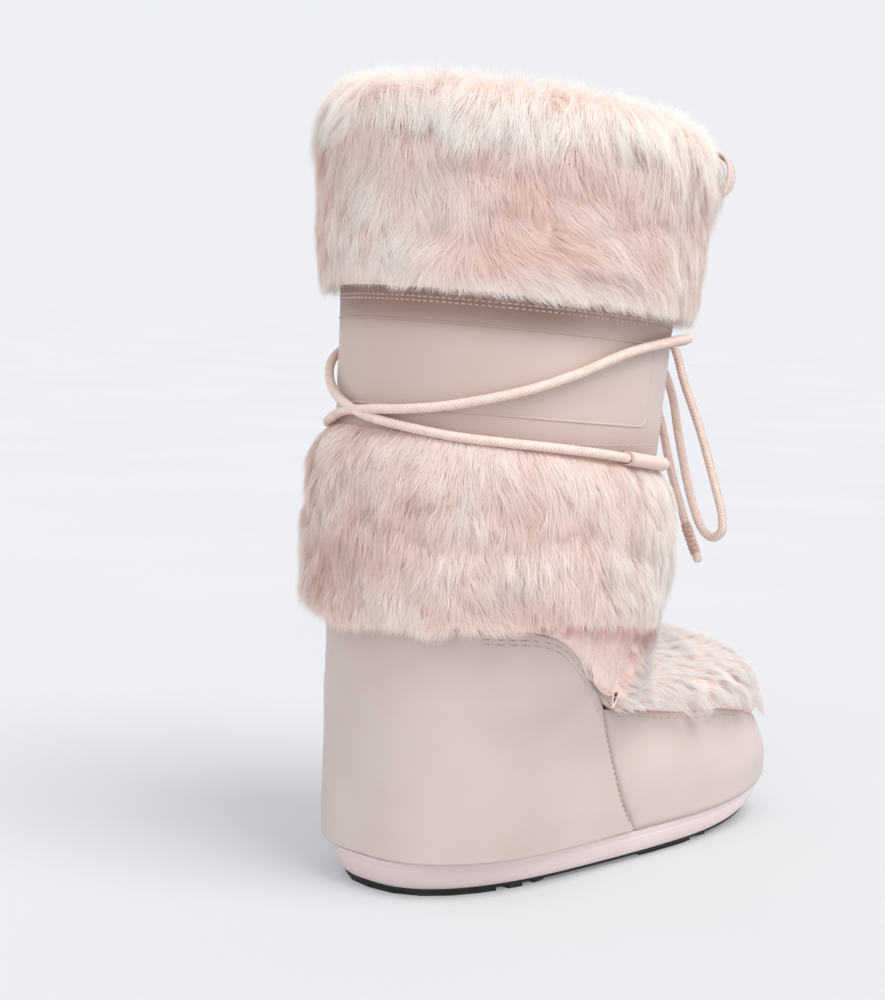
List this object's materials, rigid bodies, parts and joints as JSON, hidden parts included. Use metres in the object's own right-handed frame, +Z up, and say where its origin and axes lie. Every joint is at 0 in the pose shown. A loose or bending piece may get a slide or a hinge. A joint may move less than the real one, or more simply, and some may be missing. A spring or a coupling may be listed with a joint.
{
  "type": "apres ski boot",
  "caption": "Tall padded snow boot with deep fur bands, a smooth moulded shell, a thick sole, an open collar and a round lace wound about the leg and tied in a bow.",
  "frame": {"origin": "middle of the boot's own box on the ground, without the hanging lace", "axes": "+X towards the toe, +Y the wearer's left, +Z up the leg"},
  "size_m": [0.3126, 0.191, 0.394],
  "materials": {
    "tread": "black moulded rubber, matt",
    "sole_band": "pale pink moulded rubber, satin",
    "insole_cloth": "pale felt",
    "fur": "deep pale pink pile",
    "shell": "smooth coated cloth, satin",
    "webbing": "flat woven strap",
    "lace": "round braided cord"
  },
  "bodies": {
    "root": {"outsole": "tread", "midsole": "sole_band", "insole": "insole_cloth", "upper": "fur", "heel_shell": "shell", "toe_shell": "shell", "pull_loop": "webbing", "keeper_right": "webbing", "keeper_left": "webbing", "lace_wrap": "lace", "lace_knot": "lace", "lace_loop_right": "lace", "lace_loop_left": "lace", "lace_end_right": "lace", "lace_end_left": "lace"}
  },
  "joints": []
}
